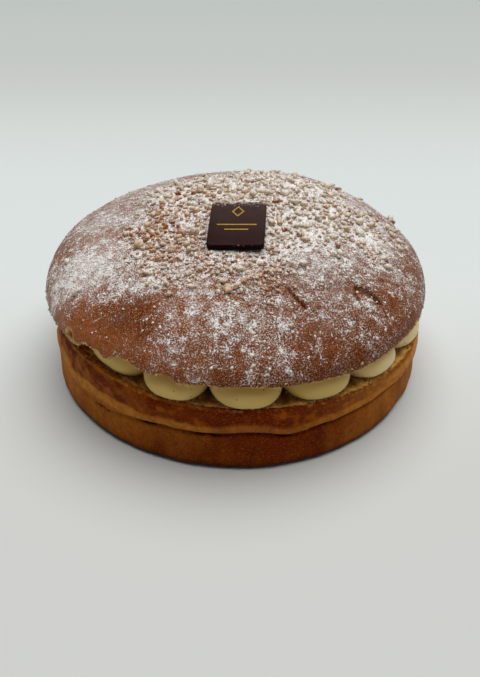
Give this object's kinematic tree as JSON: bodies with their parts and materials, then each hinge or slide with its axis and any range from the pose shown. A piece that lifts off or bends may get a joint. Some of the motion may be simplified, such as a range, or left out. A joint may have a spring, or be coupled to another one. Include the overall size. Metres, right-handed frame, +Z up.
{
  "type": "cream-filled brioche",
  "caption": "Round brioche cake cut across and filled with piped vanilla cream, its domed lid dusted with icing sugar and crumble and topped with a small chocolate plaque.",
  "frame": {"origin": "middle of the flat underside, on the surface that the cake rests on", "axes": "+Z upwards out of the underside, -Y towards the front, where the plaque leans down"},
  "size_m": [0.184, 0.184, 0.0863],
  "materials": {
    "base_crust": "baked crust, satin",
    "vanilla_cream": "smooth soft cream",
    "lid_crust": "baked crust with icing sugar and grains",
    "dark_chocolate": "moulded chocolate, low gloss"
  },
  "bodies": {
    "root": {"brioche_base": "base_crust", "cream_filling": "vanilla_cream", "brioche_lid": "lid_crust", "chocolate_plaque": "dark_chocolate"}
  },
  "joints": []
}
